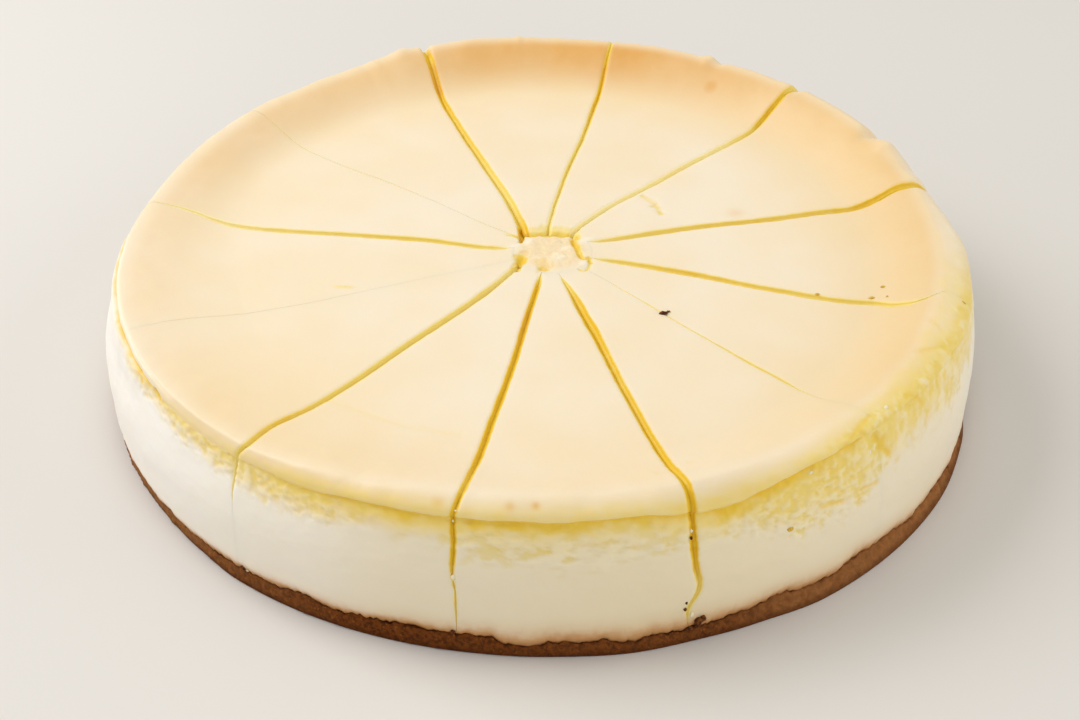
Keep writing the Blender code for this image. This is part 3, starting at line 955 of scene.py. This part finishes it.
def makeCore(material):
    radii = cake["coreRadius"] * np.linspace(0.0, 1.0, core["rings"] + 1)[1:]
    turn = np.linspace(0.0, math.tau, core["spokes"], endpoint=False)
    ring, angle = np.meshgrid(radii, turn, indexing="ij")
    x, y = coreX + ring * np.cos(angle), coreY + ring * np.sin(angle)
    flat = np.stack([x, y, 0.0 * x], axis=-1)
    inside = 1.0 - ease((ring - core["flatFrom"]) / (cake["coreRadius"] - core["flatFrom"]))
    lumps = sum(rise * grain(flat, size, 21 + i, 3) for i, (rise, size) in enumerate(core["lumps"]))
    deep, golden, amber, pale = carve(x, y)
    rise, size = surface["swell"]
    swell = cake["middleHeight"] + rise * grain(flat + (0.0, 0.0, cake["middleHeight"]), size, 1, 2)
    height = swell + inside * (lumps + core["crown"]) - deep
    spokes = core["spokes"]
    places = [[[coreX, coreY, height[0].mean()]], np.stack([x, y, height], axis=-1).reshape(-1, 3)]
    levels = (*core["wallLevels"], cake["crumbHeight"] + 0.1)
    for level in levels:
        places.append(np.column_stack([x[-1], y[-1], np.full(spokes, level)]))
    walls = spokes * len(levels)
    fields = {
        kind: np.concatenate([[middle], skinValue.reshape(-1), np.full(walls, wall)])
        for kind, middle, skinValue, wall in (
            ("golden", 0.0, golden, 1.0),
            ("amber", 0.0, amber, 1.0),
            # pale lumps: partly a painted highlight
            ("ridge", 0.0, core["paleness"] * pale, 0.0),
            ("warm", core["warmth"], core["warmth"] * inside, 0.0),
        )
    }
    faces = [(0, 1 + j, 1 + (j + 1) % spokes) for j in range(spokes)]
    count = core["rings"] + len(levels)
    for k in range(count - 1):
        for j in range(spokes):
            a, b = 1 + k * spokes + j, 1 + k * spokes + (j + 1) % spokes
            faces.append((a, a + spokes, b + spokes, b))
    faces.append(tuple(reversed(range(1 + (count - 1) * spokes, 1 + count * spokes))))
    edge = 1 + (core["rings"] - 1) * spokes
    sharp = [(edge + j, edge + (j + 1) % spokes) for j in range(spokes)]
    mesh = makeMesh("fillingCore", np.concatenate(places), faces, fields, sharp)
    addPiece("fillingCore", mesh, material, "filling", "filling_core")


# Loose bits: for each kind, its own places and sizes. A place is (x, y) on the top or (azimuth,
# place along the skin) on the side; a size is long, wide and high in mm.
bits = dict(
    brownOnSide=[
        (288.7, 160.2, (2.2, 4.4, 2)), (289.3, 158.6, (1.8, 2, 1.6)), (287.9, 161.6, (2.2, 2, 1.8)),
        (287, 154.8, (0.9, 1, 0.8)), (287.1, 152.8, (0.7, 0.9, 0.6)), (232.6, 160.8, (1.6, 1.4, 1.2)),
        (260.4, 161, (1.4, 1.8, 1.2)), (287.7, 132, (0.8, 1, 0.6)),
    ],
    brownOnTop=[
        (34.6, -31.4, (2.4, 1.5, 0.9)), (35.9, -30.6, (1.1, 0.9, 0.6)),
    ],
    goldOnTop=[
        (97.3, -18.6, (1.5, 1.1, 0.7)), (93.6, -23.4, (2.2, 1.2, 0.8)), (97.7, -24.2, (0.9, 0.8, 0.5)),
        (78.4, -21.3, (1.3, 0.8, 0.5)), (-55.3, -19.3, (2, 0.8, 0.35)),
    ],
    goldOnSide=[
        (300.2, 138.9, (2.2, 1.3, 0.6)), (344.8, 121.2, (0.9, 1.8, 0.6)),
    ],
    paleOnSide=[
        (318, 120.5, (1.8, 1, 0.3)), (303.8, 127.6, (1.4, 0.8, 0.35)), (306, 128.8, (1.1, 0.8, 0.35)),
        (313.2, 130.6, (1.2, 2.2, 0.5)), (260.6, 141.6, (1, 1.6, 0.6)), (287.8, 130, (0.7, 1, 0.4)),
        (287.9, 157, (1, 1.8, 0.6)), (233, 161.5, (1.3, 1, 0.6)), (260.6, 122.3, (0.5, 0.5, 0.25)),
        (260.3, 126.6, (0.5, 0.7, 0.25)),
    ],
)


def grainShape(rings=6, spokes=9):
    # a round grain as unit directions and faces
    places, faces = [(0.0, 0.0, 1.0)], []
    for k in range(1, rings):
        tilt = math.pi * k / rings
        for j in range(spokes):
            turn = math.tau * j / spokes
            places.append((math.sin(tilt) * math.cos(turn), math.sin(tilt) * math.sin(turn), math.cos(tilt)))
    last = len(places)
    places.append((0.0, 0.0, -1.0))
    for j in range(spokes):
        after = (j + 1) % spokes
        faces.append((0, 1 + j, 1 + after))
        for k in range(rings - 2):
            a, b = 1 + k * spokes + j, 1 + k * spokes + after
            faces.append((a, a + spokes, b + spokes, b))
        faces.append((last, last - spokes + after, last - spokes + j))
    return np.array(places), faces


def bitFrame(bit, onSide):
    # where a bit lies, with its long, wide and high directions
    if not onSide:
        out, azimuth = math.hypot(bit[0], bit[1]), math.degrees(math.atan2(bit[1], bit[0]))
        height = float(topHeight(np.array(out), np.array(azimuth)))
        return np.array([bit[0], bit[1], height]), np.eye(3)
    above, below = [np.array(sidePlace(bit[0], bit[1] + step)) for step in (-0.2, 0.2)]
    _, long = directions(bit[0])
    down = (below - above) / np.linalg.norm(below - above)
    return 0.5 * (above + below), np.array([long, down, np.cross(down, long)])


def makeBits(name, groups, material, slot, jag, sunk):
    # groups: (list of bits, whether they lie on the side); sunk: share of their height under the skin
    shape, shapeFaces = grainShape()
    places, faces = [], []
    for group, onSide in groups:
        for bit in group:
            where, axes = bitFrame(bit, onSide)
            rough = 1.0 + jag * grain(shape + 3.1 * len(places), 0.7, 31, 2)
            sized = shape * rough[:, None] * np.array(bit[2]) * 0.5
            sized[:, 2] += bit[2][2] * (0.5 - sunk)
            first = len(places) * len(shape)
            places.append(insideBox(where + sized @ axes))
            faces += [tuple(first + corner for corner in face) for face in shapeFaces]
    mesh = makeMesh(name, np.concatenate(places), faces, {})
    addPiece(name, mesh, material, slot)


def colour(red, green, blue):
    # display values from 0 to 255, as the linear ones that a shader takes
    values = [value / 255.0 for value in (red, green, blue)]
    return (*[v / 12.92 if v <= 0.04045 else ((v + 0.055) / 1.055) ** 2.4 for v in values], 1.0)


def colours(**tones):
    return {name: colour(*tone) for name, tone in tones.items()}


class Wire:
    # one output of a node: arithmetic on it adds Math nodes
    def __init__(self, paint, socket):
        self.paint, self.socket = paint, socket

    def math(self, operation, first, second):
        return self.paint.node("ShaderNodeMath", dict(operation=operation), {0: first, 1: second})

    def __add__(self, other):
        return self.math("ADD", self, other)

    def __radd__(self, other):
        return self.math("ADD", other, self)

    def __sub__(self, other):
        return self.math("SUBTRACT", self, other)

    def __rsub__(self, other):
        return self.math("SUBTRACT", other, self)

    def __mul__(self, other):
        return self.math("MULTIPLY", self, other)

    def __rmul__(self, other):
        return self.math("MULTIPLY", other, self)

    def __truediv__(self, other):
        return self.math("DIVIDE", self, other)


class Paint:
    # a material on the principled shader; constants are set straight on its sockets
    def __init__(self, name, **constants):
        self.material = bpy.data.materials.new(name)
        self.material.use_nodes = True
        self.tree = self.material.node_tree
        self.shader = self.tree.nodes["Principled BSDF"]
        for socket, value in constants.items():
            self.shader.inputs[socket.replace("_", " ")].default_value = value

    def node(self, kind, settings=None, inputs=None, output=0):
        made = self.tree.nodes.new(kind)
        for key, value in (settings or {}).items():
            setattr(made, key, value)
        for key, value in (inputs or {}).items():
            if isinstance(value, Wire):
                self.tree.links.new(value.socket, made.inputs[key])
            else:
                made.inputs[key].default_value = value
        return Wire(self, made.outputs[output])

    def place(self):
        return self.node("ShaderNodeTexCoord", output="Object")

    def field(self, name):
        return self.node("ShaderNodeAttribute", dict(attribute_name=name), output="Fac")

    def grain(self, size, detail, rough=0.55, stretch=(1.0, 1.0, 1.0)):
        # noise from 0 to 1 with lumps of that size in mm
        where = self.node("ShaderNodeVectorMath", dict(operation="MULTIPLY"), {0: self.place(), 1: stretch})
        inputs = dict(Vector=where, Scale=1.0 / (size * mm), Detail=detail, Roughness=rough)
        return self.node("ShaderNodeTexNoise", {}, inputs, "Fac")

    def between(self, value, low, high):
        settings = dict(interpolation_type="SMOOTHSTEP")
        return self.node("ShaderNodeMapRange", settings, {"Value": value, "From Min": low, "From Max": high})

    def mix(self, factor, first, second):
        # the sockets of a colour mix: 0 factor, 6 and 7 colours, output 2
        return self.node("ShaderNodeMix", dict(data_type="RGBA"), {0: factor, 6: first, 7: second}, 2)

    def coats(self, base, tones, layers):
        # tones over a base, each by how much it covers
        for factor, name in layers:
            base = self.mix(factor, base, tones[name])
        return base

    def bump(self, height, distance, strength, normal=None):
        inputs = dict(Height=height, Distance=distance * mm, Strength=strength)
        if normal is not None:
            inputs["Normal"] = normal
        return self.node("ShaderNodeBump", {}, inputs)

    def finish(self, **links):
        for socket, value in links.items():
            self.tree.links.new(value.socket, self.shader.inputs[socket.replace("_", " ")])
        return self.material


custardTones = colours(
    cream=(246, 231, 204), warmer=(245, 226, 191), warm=(243, 214, 160), baked=(227, 171, 92),
    ridge=(255, 246, 222), side=(250, 244, 234), sideWarm=(240, 226, 192), brown=(222, 183, 124),
    wash=(245, 217, 122), fleck=(248, 236, 198), pit=(234, 206, 84), paleGold=(252, 235, 172),
    gold=(244, 219, 118), deepGold=(238, 198, 50), amber=(232, 174, 52), halo=(204, 152, 96),
    stain=(132, 76, 38),
)


def makeCustardMaterial():
    paint = Paint(
        "bakedCustard", Subsurface_Weight=0.12, Subsurface_Radius=(1.0, 0.55, 0.25), Subsurface_Scale=0.004,
        Specular_IOR_Level=0.35,
    )
    tones, field, grain, between = custardTones, paint.field, paint.grain, paint.between
    fine, side, fleck, pit = grain(2.0, 4.0), field("side"), field("fleck"), field("pit")
    patchy = grain(6.0, 3.0, 0.55, (1.0, 1.0, 1.7)) - 0.5
    stain = field("stain") * (0.55 + 0.9 * grain(2.8, 3.0))     # crumb colour that creeps up into the foot
    amber = field("amber") + (grain(3.0, 2.0) - 0.5) * 0.25
    cutTone = paint.coats(tones["paleGold"], tones, [
        (between(amber, 0.0, 0.5), "gold"),
        (between(amber, 0.5, 0.85), "deepGold"),
        (between(amber, 0.85, 1.05), "amber"),
    ])
    base = paint.mix(between(grain(38.0, 2.0), 0.3, 0.7), tones["cream"], tones["warmer"])
    # warmer, darker side tone: partly the filling's own tint, partly painted shade on the sides away from the
    # key lamp
    base = paint.mix(side, base, paint.mix(field("sideWarm"), tones["side"], tones["sideWarm"]))
    base = paint.coats(base, tones, [
        # the darker foot: partly a baked tint, partly painted shade
        (field("brown") * (0.3 + 0.5 * grain(12.0, 3.0)), "brown"),
        (field("warm") * (0.8 + 0.4 * grain(20.0, 2.0)), "warm"),
        (field("baked") * (0.7 + 0.6 * grain(14.0, 3.0)), "baked"),
        # pale tone: partly the filling's own, partly a painted highlight on the ridge and the core's lumps
        (field("ridge") * 0.8, "ridge"),
        (between(field("wash") * (1.0 + patchy), 0.0, 1.0), "wash"),
        # pale flecks on the raised lumps, partly a painted highlight; gold pits in the low places, partly
        # painted shade
        (fleck * (0.2 + 0.8 * fine), "fleck"),
        (pit * (0.2 + 0.7 * fine), "pit"),
        (between(stain, 0.05, 0.6), "halo"),
        (between(stain, 0.5, 1.15), "stain"),
    ])
    base = paint.mix(between(field("golden"), 0.0, 0.9), base, cutTone)
    rough = 0.44 + side * 0.12 + (fleck + pit) * 0.12 + (fine - 0.5) * 0.12
    relief = paint.bump(grain(0.9, 3.0), 0.10, 0.2)
    relief = paint.bump(grain(5.0, 2.0), 0.25, 0.2, relief)
    return paint.finish(Base_Color=base, Roughness=rough, Normal=relief)


crumbTones = colours(
    dark=(72, 31, 2), middle=(114, 58, 12), light=(154, 94, 34), pale=(170, 116, 66),
)


def makeCrumbMaterial():
    paint = Paint("darkCrumb", Specular_IOR_Level=0.12)
    tones, grain, between = crumbTones, paint.grain, paint.between
    lumps = grain(1.3, 4.0, 0.65)
    height = paint.node("ShaderNodeSeparateXYZ", {}, {"Vector": paint.place()}, "Z")
    base = paint.coats(tones["dark"], tones, [
        (between(lumps, 0.35, 0.6), "middle"),
        (between(grain(0.8, 3.0), 0.58, 0.72) * 0.7, "light"),
        (paint.field("pale") * (0.4 + 0.7 * grain(3.0, 3.0)), "pale"),
        # painted contact shade: the crumb is darkened towards the floor
        (between(2.6 - height / mm, 0.0, 2.6) * 0.6, "dark"),   # darker near the floor
    ])
    relief = paint.bump(lumps, 0.5, 0.7)
    return paint.finish(Base_Color=base, Roughness=0.82 + (lumps - 0.5) * 0.2, Normal=relief)


bitTones = dict(
    brownCrumb=(colour(66, 30, 6), colour(120, 68, 24)),
    goldenBit=(colour(208, 164, 62), colour(232, 196, 98)),
    paleFlake=(colour(244, 230, 194), colour(248, 236, 204)),
)


def makeBitMaterial(name):
    dark, light = bitTones[name]
    paint = Paint(name, Specular_IOR_Level=0.15, Subsurface_Weight=0.08, Subsurface_Scale=0.002)
    mottle = paint.grain(0.9, 3.0)
    base = paint.mix(paint.between(mottle, 0.35, 0.65), dark, light)
    relief = paint.bump(mottle, 0.15, 0.4)
    return paint.finish(Base_Color=base, Roughness=0.6 + (mottle - 0.5) * 0.2, Normal=relief)


ground = dict(size=6.0, under=0.0002, tones=((221, 217, 210), (225, 221, 215)))


def makeFloorMaterial():
    paint = Paint("paleFloor", Roughness=0.85, Specular_IOR_Level=0.2)
    first, second = [colour(*tone) for tone in ground["tones"]]
    tone = paint.mix(paint.between(paint.grain(400.0, 1.0), 0.3, 0.7), first, second)
    return paint.finish(Base_Color=tone)


def addObject(name, data):
    made = bpy.data.objects.new(name, data)
    bpy.context.scene.collection.objects.link(made)
    return made


def addPiece(name, mesh, material, slot, *nodes):
    piece = addObject(name, mesh)
    mesh.materials.append(material)
    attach(piece, "root")
    if nodes:
        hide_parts(*nodes)


view = dict(
    azimuth=-89.785, elevation=36.08, roll=0.263, distance=0.6003, aim=(0.0, 0.0, 0.0004),
    lens=65.97, sensor=36.0,
)


def makeCamera():
    data = bpy.data.cameras.new("camera")
    data.lens = view["lens"]
    data.sensor_width = view["sensor"]
    camera = addObject("camera", data)
    turn, rise = math.radians(view["azimuth"]), math.radians(view["elevation"])
    toCamera = Vector((math.cos(turn) * math.cos(rise), math.sin(turn) * math.cos(rise), math.sin(rise)))
    face = toCamera.to_track_quat("Z", "Y").to_matrix().to_4x4()
    camera.matrix_world = (
        Matrix.Translation(Vector(view["aim"]) + view["distance"] * toCamera)
        @ face @ Matrix.Rotation(math.radians(view["roll"]), 4, "Z")
    )
    bpy.context.scene.camera = camera


lamps = dict(
    key=dict(place=(-0.88, 0.3, 0.95), size=0.9, power=11.3, tone=(1.0, 0.99, 0.98)),
    fill=dict(place=(1.1, -0.1, 0.62), size=1.0, power=3.8, tone=(1.0, 0.98, 0.95)),
    front=dict(place=(0.55, -1.5, 0.55), size=1.3, power=3.0, tone=(1.0, 0.98, 0.95)),
)
sky = dict(tone=(1.0, 0.99, 0.98), strength=0.54)


def makeLight():
    for name, lamp in lamps.items():
        data = bpy.data.lights.new(name, "AREA")
        data.size = lamp["size"]
        data.energy = lamp["power"]
        data.color = lamp["tone"]
        light = addObject(name, data)
        light.location = lamp["place"]
        light.rotation_euler = Vector(lamp["place"]).to_track_quat("Z", "Y").to_euler()
    world = bpy.data.worlds.new("studio")
    bpy.context.scene.world = world
    world.use_nodes = True
    back = world.node_tree.nodes["Background"]
    back.inputs["Color"].default_value = (*sky["tone"], 1.0)
    back.inputs["Strength"].default_value = sky["strength"]


def makeFloor():
    bpy.ops.mesh.primitive_plane_add(size=ground["size"], location=(0.0, 0.0, -ground["under"]))
    floor = bpy.context.object
    floor.name = "floor"
    floor.data.materials.append(makeFloorMaterial())


makeCamera()
makeLight()
makeFloor()
print("camera, light and floor are up")

custard = makeCustardMaterial()
darkCrumb = makeCrumbMaterial()
makeSlices("fillingSlice", "filling", custard, "filling", fillingPath, fillingRadius, fillingShape,
           fillingFinish, wedge["fillingGroove"], (0,))
print("filling slices are cut")
makeSlices("crumbSlice", "base", darkCrumb, "crumb", crumbPath, crumbRadii, crumbShape,
           crumbFinish, wedge["crumbGroove"])
bpy.data.objects["base_core"].material_slots[0].material = darkCrumb
print("crumb slices are cut")
makeCore(custard)
print("the core is in")

makeBits("brownCrumbs", [(bits["brownOnSide"], True), (bits["brownOnTop"], False)],
         makeBitMaterial("brownCrumb"), "crumb", 0.45, 0.35)
makeBits("goldenBits", [(bits["goldOnSide"], True), (bits["goldOnTop"], False)],
         makeBitMaterial("goldenBit"), "filling", 0.3, 0.45)
makeBits("paleFlakes", [(bits["paleOnSide"], True)], makeBitMaterial("paleFlake"), "filling", 0.5, 0.55)
print("loose bits are laid")

bpy.context.scene.view_settings.view_transform = "Standard"
